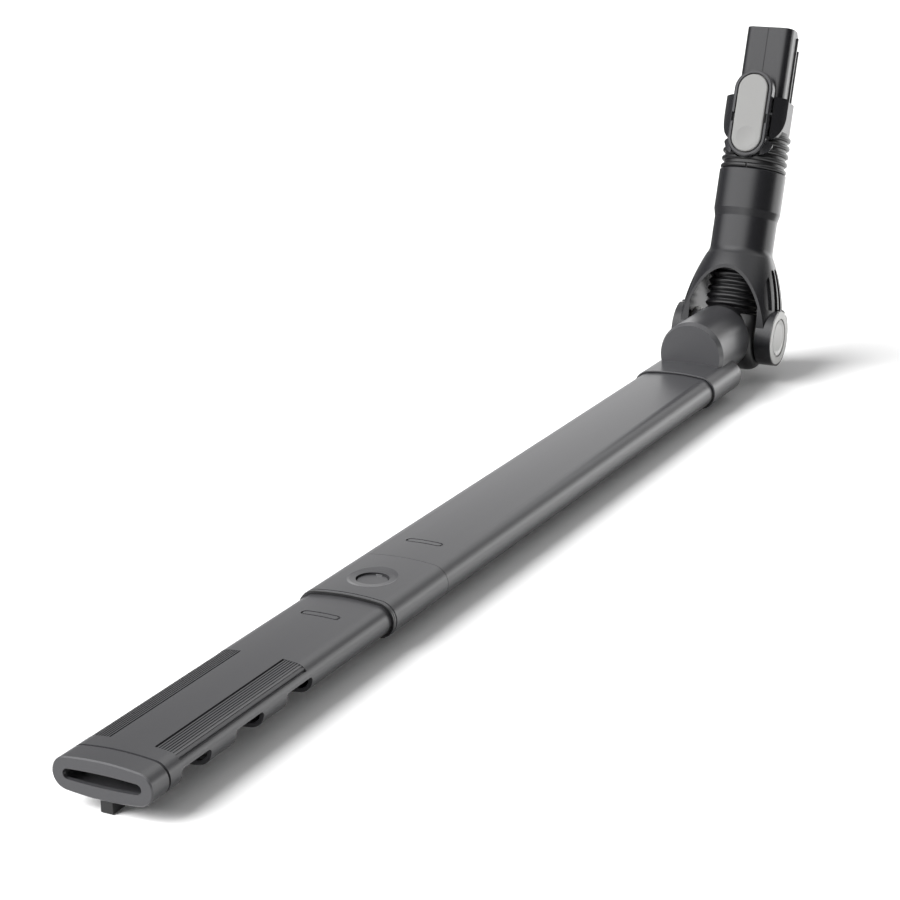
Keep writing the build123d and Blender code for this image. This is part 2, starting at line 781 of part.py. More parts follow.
def hose_upper_cuff():
    bottom = hose_bottom + hose_rings * hose_pitch
    ring = rod_z(tube_bore_radius - seat_gap, bottom, bottom + upper_cuff_length)
    return handle_frame * (ring - rod_z(hose_valley - hose_wall, bottom, bottom + upper_cuff_length))


def neck_boot():
    """Ribbed rubber boot round the neck, with a bay in front where the lever's skirt moves."""
    bottom = upper_tube_top
    rings_bottom = bottom + boot_band
    top = boot_top()
    boot = rod_z(boot_valley, bottom, top) - rod_z(neck_tube_radius + seat_gap, bottom, top)
    minor = boot_radius - boot_valley
    for index in range(boot_rings):
        middle = rings_bottom + minor + index * boot_pitch
        ring = rod_z(boot_valley, middle - minor, middle + minor) - rod_z(boot_valley - 1, middle - minor, middle + minor)
        boot += ring + Pos(0, 0, middle) * Torus(boot_valley, minor)
    bay = stadium_up(
        lever_half_width + boot_clearance, lever_half_length + boot_clearance,
        lever_middle, 0, boot_radius + 5,
    )
    boot -= rod_z(neck_tube_radius + seat_gap, bottom - 1, top + 1)
    boot -= bay - rod_z(boot_flat, bottom, top + 1)
    low_x = boot_tick_x - boot_tick_width / 2
    tick = box_between(
        (low_x, -boot_radius - 1, bottom + 0.3),
        (low_x + boot_tick_width, -boot_valley, rings_bottom + 2 * minor + 0.1),
    )
    return handle_frame * (boot - tick)


def boot_top():
    return upper_tube_top + boot_band + boot_rings * boot_pitch


def rounded_block(half_width, front, back, corner):
    """Plan outline of the spigot and cuff; the front is towards -Y."""
    face = Pos(0, (back - front) / 2) * Rectangle(2 * half_width, front + back)
    return fillet(face.vertices(), corner)


def stand(outline, low, high):
    """Extrude a plan outline up the handle."""
    return extrude(Pos(0, 0, low) * outline, amount=high - low)


def ears():
    """Two guards beside the lever, cut from a round sleeve, with rounded lower corners."""
    low = boot_top() + 0.3
    guard = rod_z(ear_radius, ear_bottom, cuff_top)
    guard -= rod_z(boot_radius + 0.3, ear_bottom - 1, low)
    front = box_between((-ear_outer_x, -ear_radius, ear_bottom), (ear_outer_x, -ear_back, cuff_top))
    guard = guard & front
    guard -= box_between((-ear_inner_x, -big, 0), (ear_inner_x, big, big))
    width = ear_outer_x - ear_inner_x
    view = Rectangle(2 * ear_outer_x, cuff_top - ear_bottom - ear_round_height, align=(Align.CENTER, Align.MIN))
    view = Pos(0, ear_bottom + ear_round_height) * view
    for side in (-1, 1):
        view += Pos(side * ear_inner_x, ear_bottom + ear_round_height) * Ellipse(width, ear_round_height)
    return guard & extrude(Plane.XZ.offset(-big / 4) * view, amount=big / 2)


def connector_body():
    """Cuff, spigot and tail in one moulding."""
    neck_low = upper_tube_top
    block_low = boot_top()
    spigot = stand(rounded_block(spigot_half_width, spigot_front, spigot_back, spigot_corner), block_low, spigot_top)
    cuff = stand(rounded_block(cuff_half_width, cuff_front, spigot_back, cuff_corner), block_low, cuff_top)
    body = spigot + cuff
    body = body + ears()
    tail_low = neck_low - connector_tail
    body += rod_z(neck_tube_radius, tail_low, block_low)
    body += rod_z(tube_bore_radius - seat_gap, tail_low, neck_low - seat_gap)
    for distance, top in rail_places:
        for side in (-1, 1):
            start = Plane(origin=(side * (spigot_half_width - 0.5), distance, 0), x_dir=(0, 1, 0), z_dir=(1, 0, 0))
            rail = Pos(0, (block_low + top) / 2) * SlotOverall(top - block_low, rail_width, rotation=90)
            body += extrude(start * rail, amount=side * (rail_height + 0.5))
    wall = spigot_wall
    inside = rounded_block(spigot_half_width - wall, spigot_front - wall, spigot_back - wall, spigot_corner - wall)
    bevel = Plane(origin=(0, spigot_back - spigot_bevel, spigot_top), x_dir=(1, 0, 0), z_dir=(0, 1, 1))
    groove_low = block_low + seam_start
    half = seam_width / 2
    seam = box_between((-half, -spigot_front - 1, groove_low), (half, -spigot_front + seam_depth, spigot_top))
    seal_z = tail_low + connector_tail / 3
    groove = rod_z(tube_bore_radius + 1, seal_z - oring_radius, seal_z + oring_radius)
    groove -= rod_z(tube_bore_radius - 2 * oring_radius, seal_z - oring_radius, seal_z + oring_radius)
    pin = lever_pin_radius + seat_gap
    pin_end = lever_pin_half_length + seat_gap
    return handle_frame * cut_all(body, [
        stand(inside, block_low - 3.5, spigot_top),
        rod_z(connector_bore, tail_low, block_low - 2),
        extrude(bevel * Rectangle(big, big), amount=big / 4),
        seam,
        groove,
        rod_x(pin, -pin_end, pin_end, -lever_pivot_front, lever_pivot),
    ])


def neck_seal():
    seal_z = upper_tube_top - connector_tail + connector_tail / 3
    return handle_frame * Pos(0, 0, seal_z) * Torus(tube_bore_radius - oring_radius, oring_radius - seat_gap)


def lever_pin():
    end = lever_pin_half_length
    return handle_frame * rod_x(lever_pin_radius, -end, end, -lever_pivot_front, lever_pivot)


def lever_skirt():
    """Wall round the lever's lower end that wraps back towards the boot, deepest at its corner."""
    back = lever_skirt_radius / 2
    wall = stadium_up(lever_half_width, lever_half_length, lever_middle, back, lever_thin_back + 0.5)
    inner = stadium_up(
        lever_half_width - lever_skirt_wall, lever_half_length - lever_skirt_wall,
        lever_middle, back - 1, lever_thin_back + 1,
    )
    wedge = make_face(Polyline(
        (-lever_thin_back - 1, lever_skirt_top), (-back, lever_skirt_corner), (-back, 0), (-lever_thin_back - 1, 0),
        close=True,
    ))
    start = Plane(origin=(-big / 2, 0, 0), x_dir=(0, 1, 0), z_dir=(1, 0, 0))
    wall = wall & extrude(start * wedge, amount=big)
    half = lever_half_width - lever_skirt_wall - 0.5
    middle = box_between((-half, -lever_skirt_radius - 1, 0), (half, 0, big))
    return cut_all(wall, [inner, middle, rod_z(lever_skirt_radius, 0, big)])


def lever_wings():
    """Wings at the lever's lower end that reach round the boot, rounded like a leaf in front view."""
    side = lever_half_width
    low = lever_middle - lever_half_length
    root_x = side - pad_rim
    root = (side - pad_rim / 2, low + wing_top)
    tip = (side + wing_reach, low + wing_tip)
    foot = (root_x, low + wing_low)
    upper = (side + 0.2 * wing_reach, low + 0.45 * wing_tip + 0.48 * wing_top)
    lower = (side + 0.55 * wing_reach, low + 0.45 * wing_tip + 0.5 * wing_low)
    view = make_face([
        ThreePointArc(root, upper, tip),
        ThreePointArc(tip, lower, foot),
        Line(foot, (root_x, root[1])),
        Line((root_x, root[1]), root),
    ])
    inner = boot_radius + wing_clearance
    shell = rod_z(inner + wing_wall, low, lever_middle) - rod_z(inner, low - 1, lever_middle + 1)
    wing = shell & extrude(Plane.XZ * view, amount=big / 2)
    return wing + mirror(wing, about=Plane.YZ)


def latch_lever():
    """Rocking lever: a stadium frame with a pad pocket, two lugs on the pin and a hook at the top."""
    frame = stadium_up(lever_half_width, lever_half_length, lever_middle, lever_deep_back, lever_front)
    front_edges = frame.faces().sort_by(Axis.Y)[0].edges()
    frame = chamfer(front_edges, 0.7)
    thin = box_between((-big, -lever_thin_back, 0), (big, 0, lever_pivot - 10))
    frame = frame - thin + lever_skirt() + lever_wings()
    pocket = stadium_up(
        lever_half_width - pad_rim + pad_gap, lever_half_length - pad_rim + pad_gap,
        lever_middle, lever_thin_back + lever_floor / 2, lever_front,
    )
    hollow = stadium_up(
        lever_half_width - pad_rim + 1, lever_half_length - pad_rim + 1,
        lever_middle, lever_deep_back, lever_thin_back - lever_floor / 2,
    )
    frame = cut_all(frame, [pocket, hollow])
    for side in (-1, 1):
        inner = side * (lever_half_width - lug_width)
        outer = side * lever_half_width
        ends = sorted([inner, outer])
        frame += rod_x(lug_radius, ends[0], ends[1], -lever_pivot_front, lever_pivot)
        frame += box_between(
            (ends[0], -lever_deep_back - 1.5, lever_pivot - lug_radius),
            (ends[1], -lever_pivot_front, lever_pivot + lug_radius),
        )
        window_x = side * (lever_half_width - pad_rim + pad_gap)
        window = sorted([window_x, window_x + side * 1.2])
        low = lever_middle - clip_window
        frame -= box_between((window[0], -big, low), (window[1], -lever_thin_back - 1, low + clip_window))
    hook_top = lever_middle + lever_half_length - hook_setback
    back = lever_thin_back - lever_floor / 2
    hook = box_between(
        (-hook_half_width, -back - 0.5, hook_top - hook_thickness),
        (hook_half_width, -back + hook_reach, hook_top),
    )
    nose = box_between(
        (-hook_half_width, -back + hook_reach - hook_thickness, hook_top - hook_thickness),
        (hook_half_width, -back + hook_reach, hook_top + 1.5),
    )
    bore = rod_x(lever_pin_radius + 1.6 * running_gap, -big / 2, big / 2, -lever_pivot_front, lever_pivot)
    return handle_frame * (frame + hook + nose - bore)


def latch_pad():
    """Light oval thumb pad with a shallow dimple near its lower end."""
    half_width = lever_half_width - pad_rim
    half_length = lever_half_length - pad_rim
    back = lever_thin_back + lever_floor / 2
    pad = stadium_up(half_width, half_length, lever_middle, back, lever_front + pad_proud)
    pad = fillet(pad.faces().sort_by(Axis.Y)[0].edges(), pad_round)
    dimple_radius = 42.0
    dimple_z = lever_middle - half_length + half_width
    dimple = Pos(0, -lever_front - pad_proud - dimple_radius + 0.45, dimple_z) * Sphere(dimple_radius)
    return handle_frame * (pad - dimple)


def lever_spring():
    """Bent leaf on the cuff that holds the lower end of the lever out."""
    low = boot_top() + 0.4
    base = cuff_front + seat_gap
    top = lever_thin_back - lever_floor / 2 - seat_gap
    t = leaf_thickness
    leaf = make_face(Polyline(
        (-base, lever_pivot + 4), (-base, low), (-base - 1.2, low), (-top, low + 1.5), (-top, low + 3),
        (-top + t, low + 3), (-top + t, low + 1.8), (-base - 1.2 + t, low + t), (-base - t, low + t),
        (-base - t, lever_pivot + 4), close=True,
    ))
    start = Plane(origin=(-leaf_half_width, 0, 0), x_dir=(0, 1, 0), z_dir=(1, 0, 0))
    return handle_frame * extrude(start * leaf, amount=2 * leaf_half_width)


pieces = {
    "outer_tube": outer_tube(),
    "latch_sleeve": latch_sleeve(),
    "sleeve_seal": sleeve_seal(),
    "nozzle_tube": nozzle_tube(),
    "guide_ring": guide_ring(),
    "end_cap": end_cap(),
    "skid_foot": skid_foot(),
    "ribbed_strip_left": ribbed_strip(-1),
    "ribbed_strip_right": ribbed_strip(1),
    "release_button": release_button(),
    "snap_spring": snap_spring(),
    "elbow_housing": elbow_housing(),
    "hinge_barrel": hinge_barrel(),
    "barrel_seal": barrel_seal(),
    "pivot_screw_left": pivot_screw(-1),
    "pivot_screw_right": pivot_screw(1),
    "friction_washer_left": friction_washer(-1),
    "friction_washer_right": friction_washer(1),
    "yoke": yoke(),
    "hub_cap_left": hub_cap(-1),
    "hub_cap_right": hub_cap(1),
    "tube_sleeve": tube_sleeve(),
    "flex_hose": flex_hose(),
    "hose_lower_cuff": hose_lower_cuff(),
    "hose_upper_cuff": hose_upper_cuff(),
    "neck_boot": neck_boot(),
    "connector_body": connector_body(),
    "neck_seal": neck_seal(),
    "lever_pin": lever_pin(),
    "latch_lever": latch_lever(),
    "latch_pad": latch_pad(),
    "lever_spring": lever_spring(),
}

os.makedirs("parts", exist_ok=True)
for name, piece in pieces.items():
    export_step(piece, f"parts/{name}.step")
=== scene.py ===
"""Looks for the under-appliance vacuum wand: moulded plastics, rubber, a corrugated hose and a studio.
"""

import math

import bpy
import numpy as np
from bpy.props import (
    BoolProperty, FloatProperty, FloatVectorProperty, IntProperty, PointerProperty,
)
from mathutils import Matrix, Vector


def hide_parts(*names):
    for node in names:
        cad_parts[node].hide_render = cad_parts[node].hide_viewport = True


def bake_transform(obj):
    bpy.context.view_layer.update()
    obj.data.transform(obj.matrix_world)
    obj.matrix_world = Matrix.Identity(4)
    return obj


bl_info = {
    "name": "Under-appliance vacuum wand",
    "version": (1, 0, 0),
    "blender": (4, 5, 0),
    "location": "View3D > Sidebar > Wand",
    "description": "Builds the looks of a flat telescoping vacuum wand round its packed solids",
    "category": "Object",
}

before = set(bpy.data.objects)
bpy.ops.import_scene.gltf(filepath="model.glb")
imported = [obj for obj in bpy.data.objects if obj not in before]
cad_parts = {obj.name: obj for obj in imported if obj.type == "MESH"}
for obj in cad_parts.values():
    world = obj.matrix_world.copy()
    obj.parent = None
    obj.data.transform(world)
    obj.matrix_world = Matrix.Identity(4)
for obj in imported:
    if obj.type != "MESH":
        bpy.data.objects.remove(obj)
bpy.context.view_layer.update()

MM = 0.001
# The tilt axis, and the handle's own directions at rest, in the frame's metres
HINGE = np.array([0.0, 0.066, 0.0265])
TILT = math.radians(70.4)
UP_HANDLE = np.array([0.0, math.cos(TILT), math.sin(TILT)])
FRONT_HANDLE = np.array([0.0, -math.sin(TILT), math.cos(TILT)])
ACROSS = np.array([1.0, 0.0, 0.0])

PLASTIC_IOR = 1.46
# The shader's own default, which a metal keeps
METAL_IOR = 1.5

# How finely the hose is drawn, and the power that makes its crests full and its valleys narrow
POINTS_AROUND = 96
POINTS_PER_RING = 14
CREST_POWER = 0.7

# Directions of the panels that glossy surfaces mirror
FRONT_PANEL = (-0.39, -0.877, 0.27)
REAR_PANEL = (0.62, 0.6, -0.5)
REAR_STRIP = (0.63, 0.78, 0.0)

FLOOR_HALF = 6.0
PAPER_WHITE = "#f4f4f4"
# Painted shade: the dark paper colour that only reflections see
PAINTED_SHADE_IN_REFLECTIONS = "#1c1c1c"
# Sockets of the colour mix node by number, because its inputs for all kinds share their names
COLOUR_A, COLOUR_B, COLOUR_RESULT = 6, 7, 2

# The photograph's camera: place, angles and lens were fitted together
CAMERA_FROM_HINGE = np.array([0.44104, -1.27049, 0.34292])
CAMERA_AZIMUTH = math.radians(26.357)
CAMERA_ELEVATION = math.radians(17.354)
CAMERA_ROLL = math.radians(-0.132)
SENSOR_MM = 36.0
LENS_MM = 91.14
CLIP_START = 0.05


def to_linear(hex_colour):
    """sRGB hex text to linear red, green, blue and alpha."""
    values = [int(hex_colour[i:i + 2], 16) / 255 for i in (1, 3, 5)]
    return [v / 12.92 if v <= 0.04045 else ((v + 0.055) / 1.055) ** 2.4 for v in values] + [1.0]


def add(tree, kind, inputs=None, **settings):
    """Adds one shader node, with plain settings, input values and links from other sockets."""
    made = tree.nodes.new(kind)
    for name, value in settings.items():
        setattr(made, name, value)
    for name, value in (inputs or {}).items():
        if isinstance(value, bpy.types.NodeSocket):
            tree.links.new(value, made.inputs[name])
        else:
            made.inputs[name].default_value = value
    return made


def new_material(name, colour, roughness, ior=PLASTIC_IOR, metallic=0.0):
    """A Principled material, its colour in sRGB hex or linear; returns material, tree and shader."""
    colour = to_linear(colour) if isinstance(colour, str) else list(colour) + [1.0]
    material = bpy.data.materials.new(name)
    material.use_nodes = True
    tree = material.node_tree
    tree.nodes.clear()
    shader = add(tree, "ShaderNodeBsdfPrincipled", {
        "Base Color": colour, "Roughness": roughness, "IOR": ior, "Metallic": metallic,
    })
    out = add(tree, "ShaderNodeOutputMaterial")
    tree.links.new(shader.outputs["BSDF"], out.inputs["Surface"])
    return material, tree, shader


def grain(tree, shader, size_mm, height_mm):
    """Fine cast of the mould's texture: noise of size_mm across, height_mm deep."""
    place = add(tree, "ShaderNodeTexCoord")
    noise = add(tree, "ShaderNodeTexNoise", {
        "Vector": place.outputs["Object"], "Scale": 1.0 / (size_mm * MM),
        "Detail": 2.0, "Roughness": 0.55,
    })
    bump = add(tree, "ShaderNodeBump", {
        "Height": noise.outputs["Fac"], "Distance": height_mm * MM, "Strength": 1.0,
    })
    tree.links.new(bump.outputs["Normal"], shader.inputs["Normal"])


def finish_nodes(nodes, name, colour, roughness, texture=None, **more):
    """Puts one new material on CAD nodes; texture is the grain's size and height in millimetres."""
    material, tree, shader = new_material(name, colour, roughness, **more)
    if texture:
        grain(tree, shader, *texture)
    for node in nodes:
        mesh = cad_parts[node].data
        mesh.materials.clear()
        mesh.materials.append(material)


def closed_surface(name, points):
    """Smooth mesh with UVs from a grid of points (rows v, columns u) that closes both ways."""
    rows, columns = points.shape[:2]
    v, u = np.meshgrid(np.arange(rows), np.arange(columns), indexing="ij")
    v, u = v.ravel(), u.ravel()
    v_next, u_next = (v + 1) % rows, (u + 1) % columns
    faces = np.stack([
        v * columns + u, v * columns + u_next, v_next * columns + u_next, v_next * columns + u,
    ], 1)
    mesh = bpy.data.meshes.new(name)
    mesh.from_pydata(points.reshape(-1, 3).tolist(), [], faces.tolist())
    mesh.shade_smooth()
    layer = mesh.uv_layers.new(name="uv")
    corner_u = np.stack([u, u + 1, u + 1, u], 1) / columns
    corner_v = np.stack([v, v, v + 1, v + 1], 1) / rows
    corners = np.stack([corner_u, corner_v], -1).astype(np.float32)
    layer.data.foreach_set("uv", corners.ravel())
    mesh.update()
    made = bpy.data.objects.new(name, mesh)
    bpy.context.scene.collection.objects.link(made)
    return made


def in_handle(x, front, up):
    """Handle coordinates in millimetres to frame metres."""
    parts = ((x, ACROSS), (front, FRONT_HANDLE), (up, UP_HANDLE))
    return HINGE + MM * sum(amount[..., None] * direction for amount, direction in parts)


class HoseSettings(bpy.types.PropertyGroup):
    """Sizes of the corrugated hose."""

    crest: FloatProperty(
        name="Crest radius", description="Outer radius of the rings, mm",
        default=16.9, min=16, max=17.2)
    valley: FloatProperty(
        name="Valley radius", description="Outer radius between rings, mm",
        default=15.2, min=14, max=16)
    bottom: FloatProperty(
        name="Bottom", description="Height of the lower end above the tilt axis, mm", default=9.8)
    pitch: FloatProperty(name="Pitch", description="Distance between rings, mm", default=4.4)
    rings: IntProperty(
        name="Rings", description="Number of rings", default=8, min=2, max=12)
    wall: FloatProperty(name="Wall", description="Wall thickness, mm", default=0.8)


class FinishSettings(bpy.types.PropertyGroup):
    """Colours and finishes of the mouldings."""

    tube: FloatVectorProperty(
        name="Tube colour", description="Grey of the flat tubes",
        subtype="COLOR", size=3, default=to_linear("#39393b")[:3])
    handle: FloatVectorProperty(
        name="Handle colour", description="Grey of the handle",
        subtype="COLOR", size=3, default=to_linear("#1b1b1d")[:3])
    tube_roughness: FloatProperty(
        name="Tube roughness", description="Satin finish of the tubes",
        default=0.3, min=0, max=1, subtype="FACTOR")
    handle_roughness: FloatProperty(
        name="Handle roughness", description="Satin finish of the handle",
        default=0.27, min=0, max=1, subtype="FACTOR")


class StageSettings(bpy.types.PropertyGroup):
    """Floor, lights and background."""

    sun: FloatProperty(
        name="Key strength", description="Strength of the broad soft light from the front left",
        default=6.6, min=0)
    softness: FloatProperty(
        name="Key width", description="Angle that the broad light fills",
        default=math.radians(44), min=0, subtype="ANGLE")
    bearing: FloatProperty(
        name="Key bearing", description="Direction of the light, from the front towards the left",
        default=math.radians(42), subtype="ANGLE")
    height: FloatProperty(
        name="Key height", description="Height of the light above the floor",
        default=math.radians(38), subtype="ANGLE")
    fill: FloatProperty(
        name="Fill", description="Strength of the white surroundings on dull surfaces",
        default=0.42, min=0)
    panel: FloatProperty(
        name="Front panel",
        description="Brightness of the tall panel in front that glossy surfaces mirror",
        default=2.9, min=0)
    rear: FloatProperty(
        name="Rear panel",
        description="Brightness of the slanting panel behind that they mirror",
        default=1.2, min=0)
    ceiling: FloatProperty(
        name="Ceiling", description="Brightness straight above that they mirror",
        default=1.2, min=0)
    strip: FloatProperty(
        name="Rear strip",
        description="Brightness of the low strip behind on the right that they mirror",
        default=3.0, min=0)
    room: FloatProperty(
        name="Room", description="Brightness of the rest that they mirror",
        default=0.04, min=0)
    show_floor: BoolProperty(name="Floor", description="Show the pale floor", default=True)


class WAND_OT_mouldings(bpy.types.Operator):
    """Gives the plastic, rubber and metal pieces their finishes."""

    bl_idname = "wand.mouldings"
    bl_label = "Finish the mouldings"

    def execute(self, context):
        finish = context.scene.wand_finish
        # Injection-moulded polypropylene from a finely spark-eroded mould: an even satin grey
        # whose highlights have soft edges
        finish_nodes(
            ("outer_tube", "latch_sleeve", "nozzle_tube", "end_cap", "elbow_housing"),
            "Moulded satin grey tube plastic", finish.tube, finish.tube_roughness, (0.35, 0.006))
        # Injection-moulded glass-filled nylon from a smoother mould: darker, with a tighter
        # highlight along the round tube
        finish_nodes(
            ("yoke", "tube_sleeve", "connector_body"),
            "Moulded dark grey handle nylon", finish.handle, finish.handle_roughness,
            (0.35, 0.005))
        # Injection-moulded black acetal: the darkest tone, with a dull waxy sheen
        finish_nodes(
            ("hinge_barrel", "skid_foot"),
            "Black acetal hinge moulding", "#131314", 0.36, (0.4, 0.006))
        # Injection-moulded ABS, smooth from the mould: thin clear highlights on the lever's frame
        finish_nodes(
            ("latch_lever",),
            "Moulded dark ABS lever", "#242426", 0.26, (0.35, 0.005))
        # Injection-moulded ABS under a matt lacquer: an even light grey without a highlight
        finish_nodes(
            ("latch_pad",),
            "Light grey lacquered pad", "#737372", 0.5, (0.5, 0.003))
        # Overmoulded thermoplastic elastomer: a slightly lighter grey with small highlights
        finish_nodes(
            ("ribbed_strip_left", "ribbed_strip_right"),
            "Soft elastomer ribs", "#3f3f41", 0.3, (0.3, 0.008))
        # Compression-moulded black rubber: near black, with a broad weak sheen on the folds
        finish_nodes(
            ("neck_boot", "sleeve_seal", "barrel_seal", "neck_seal", "hose_lower_cuff",
             "hose_upper_cuff", "flex_hose"),
            "Moulded black rubber", "#131314", 0.34, (0.3, 0.008), ior=1.52)
        # Injection-moulded ABS under sprayed silver lacquer: pale, with a soft metallic lift
        finish_nodes(
            ("hub_cap_left", "hub_cap_right"),
            "Silver lacquered hub cap", "#a3a3a1", 0.34, (0.25, 0.002), metallic=0.3)
        # Injection-moulded ABS in the tube's grey: the button reads by its edge alone
        finish_nodes(
            ("release_button",),
            "Moulded grey button", "#39393b", 0.3, (0.35, 0.004))
        # Injection-moulded natural acetal, left plain: milky white and waxy
        finish_nodes(
            ("guide_ring", "friction_washer_left", "friction_washer_right"),
            "Natural acetal slide piece", "#d6d4cc", 0.4, ior=1.48)
        # Bare rolled spring steel and turned pins: blurred grey reflections
        finish_nodes(
            ("snap_spring", "lever_spring", "lever_pin", "pivot_screw_left", "pivot_screw_right"),
            "Rolled spring steel", "#b4b4b6", 0.28, ior=METAL_IOR, metallic=1.0)
        return {"FINISHED"}


class WAND_OT_hose(bpy.types.Operator):
    """Smooth corrugated hose between the barrel and the handle tube, built along the handle's axis at
    rest.

    The radius rises from the valley to the crest and falls back once per ring, as a raised cosine
    of the height, to a power below one. That curve, and the same curve one wall thickness further
    in, taken back down, turn round the handle's axis.
    """

    bl_idname = "wand.hose"
    bl_label = "Build the hose"

    def execute(self, context):
        sizes = context.scene.wand_hose
        length = sizes.pitch * sizes.rings
        along = np.linspace(0, 1, POINTS_PER_RING * sizes.rings + 1)
        wave = (0.5 - 0.5 * np.cos(2 * math.pi * along * sizes.rings)) ** CREST_POWER
        outer = sizes.valley + (sizes.crest - sizes.valley) * wave
        height = sizes.bottom + length * along
        radii = np.concatenate([outer, outer[::-1] - sizes.wall])
        heights = np.concatenate([height, height[::-1]])
        angle = np.linspace(0, 2 * math.pi, POINTS_AROUND, endpoint=False)
        x = radii[:, None] * np.cos(angle)[None]
        front = radii[:, None] * np.sin(angle)[None]
        up = np.repeat(heights[:, None], POINTS_AROUND, 1)
        hose = closed_surface("bending_hose", in_handle(x, front, up))
        # Blow-moulded black elastomer: black, with a thin highlight on the crest of each ring
        material, tree, shader = new_material(
            "Blow-moulded black hose elastomer", "#111112", 0.32, ior=1.5)
        grain(tree, shader, 0.4, 0.006)
        hose.data.materials.append(material)
        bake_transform(hose)
        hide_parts("flex_hose")
        return {"FINISHED"}


def sun_light(name, bearing, height, strength, width):
    """Broad light from far away, left out of reflections, which the surroundings give."""
    light = bpy.data.lights.new(name, "SUN")
    light.energy = strength
    light.angle = width
    made = bpy.data.objects.new(name, light)
    level = math.cos(height)
    towards = Vector((-math.sin(bearing) * level, -math.cos(bearing) * level, math.sin(height)))
    made.location = towards
    made.rotation_euler = towards.to_track_quat("Z", "Y").to_euler()
    made.visible_glossy = False
    bpy.context.scene.collection.objects.link(made)
    return made


def ramp(tree, value, start, end, low, high):
    """Smooth change from low to high while a value goes from start to end."""
    made = add(tree, "ShaderNodeMapRange", {
        "Value": value, "From Min": start, "From Max": end, "To Min": low, "To Max": high,
    }, interpolation_type="SMOOTHSTEP")
    return made.outputs["Result"]


def facing(tree, direction, towards, start, end, brightness):
    """Soft-edged panel of light: brightness rises as a direction lines up with another."""
    lined_up = add(tree, "ShaderNodeVectorMath", {0: direction, 1: towards},
                   operation="DOT_PRODUCT")
    return ramp(tree, lined_up.outputs["Value"], start, end, 0.0, brightness)


def combine(tree, operation, values):
    """One operation applied to several values in turn."""
    total = values[0]
    for value in values[1:]:
        total = add(tree, "ShaderNodeMath", {0: total, 1: value}, operation=operation).outputs[0]
    return total


def surroundings(stage):
    """White to the eye and to dull surfaces; glossy ones mirror soft panels in a dark room."""
    world = bpy.data.worlds.new("White surroundings")
    world.use_nodes = True
    tree = world.node_tree
    tree.nodes.clear()
    path = add(tree, "ShaderNodeLightPath").outputs
    direction = add(tree, "ShaderNodeTexCoord").outputs["Generated"]
    axes = add(tree, "ShaderNodeSeparateXYZ", {"Vector": direction}).outputs
    front = facing(tree, direction, FRONT_PANEL, 0.4, 0.86, stage.panel)
    # Faded towards the right, and cut off where it would come round to the front
    rear = combine(tree, "MULTIPLY", [
        facing(tree, direction, REAR_PANEL, -0.12, 0.25, stage.rear),
        ramp(tree, axes["X"], 0.12, 0.38, 1.0, 0.3),
        ramp(tree, axes["Y"], 0.2, 0.6, 0.0, 1.0),
    ])
    strip = combine(tree, "MULTIPLY", [
        facing(tree, direction, REAR_STRIP, 0.84, 0.94, stage.strip),
        ramp(tree, axes["Z"], 0.1, 0.34, 1.0, 0.0),
    ])
    behind = ramp(tree, axes["Y"], 0.2, 0.6, stage.room, 0.25)
    ceiling = ramp(tree, axes["Z"], 0.45, 0.75, 0.0, stage.ceiling)
    mirrored = combine(tree, "ADD", [front, rear, strip, behind, ceiling])
    dull, gloss, white = [
        add(tree, "ShaderNodeBackground", {"Color": (1, 1, 1, 1), "Strength": strength}).outputs[0]
        for strength in (stage.fill, mirrored, 1.0)
    ]
    unseen = add(tree, "ShaderNodeMixShader", {0: path["Is Glossy Ray"], 1: dull, 2: gloss})
    mix = add(tree, "ShaderNodeMixShader", {
        0: path["Is Camera Ray"], 1: unseen.outputs[0], 2: white,
    })
    out = add(tree, "ShaderNodeOutputWorld")
    tree.links.new(mix.outputs[0], out.inputs["Surface"])
    return world


def paper_floor(half):
    """White paper; to reflections it shows painted shade on both far sides and a painted glow close by
    on the right.
    """
    mesh = bpy.data.meshes.new("floor")
    corners = [(-half, -half, 0), (half, -half, 0), (half, half, 0), (-half, half, 0)]
    mesh.from_pydata(corners, [], [(0, 1, 2, 3)])
    floor = bpy.data.objects.new("floor", mesh)
    bpy.context.scene.collection.objects.link(floor)
    # Uncoated white paper: matt, with no highlight, so that only shadows show on it
    paper, tree, shader = new_material("Matt white studio paper", PAPER_WHITE, 0.9)
    place = add(tree, "ShaderNodeTexCoord").outputs["Object"]
    axes = add(tree, "ShaderNodeSeparateXYZ", {"Vector": place}).outputs
    glossy = add(tree, "ShaderNodeLightPath").outputs["Is Glossy Ray"]
    # Painted shade: glossy rays see the paper dark far to the left and in front on the right
    painted_shade_far_left = ramp(tree, axes["X"], -0.04, -0.25, 0.0, 0.92)
    painted_shade_front_right = combine(tree, "MULTIPLY", [
        ramp(tree, axes["X"], 0.14, 0.22, 0.0, 0.92),
        ramp(tree, axes["Y"], 0.42, 0.3, 0.0, 1.0),
    ])
    painted_shade_mask = combine(tree, "MAXIMUM", [painted_shade_far_left, painted_shade_front_right])
    mix = add(tree, "ShaderNodeMix", {
        "Factor": combine(tree, "MULTIPLY", [painted_shade_mask, glossy]),
    }, data_type="RGBA")
    mix.inputs[COLOUR_A].default_value = to_linear(PAPER_WHITE)
    mix.inputs[COLOUR_B].default_value = to_linear(PAINTED_SHADE_IN_REFLECTIONS)
    tree.links.new(mix.outputs[COLOUR_RESULT], shader.inputs["Base Color"])
    # Painted light: to reflections only, the floor glows on the right, carrying the rear strip of
    # light on as a bright patch
    painted_glow_in_reflections = combine(tree, "MULTIPLY", [
        ramp(tree, axes["X"], 0.03, 0.12, 0.0, 1.2),
        combine(tree, "SUBTRACT", [1.0, painted_shade_front_right]),
        glossy,
    ])
    tree.links.new(painted_glow_in_reflections, shader.inputs["Emission Strength"])
    shader.inputs["Emission Color"].default_value = (1, 1, 1, 1)
    mesh.materials.append(paper)
    return floor


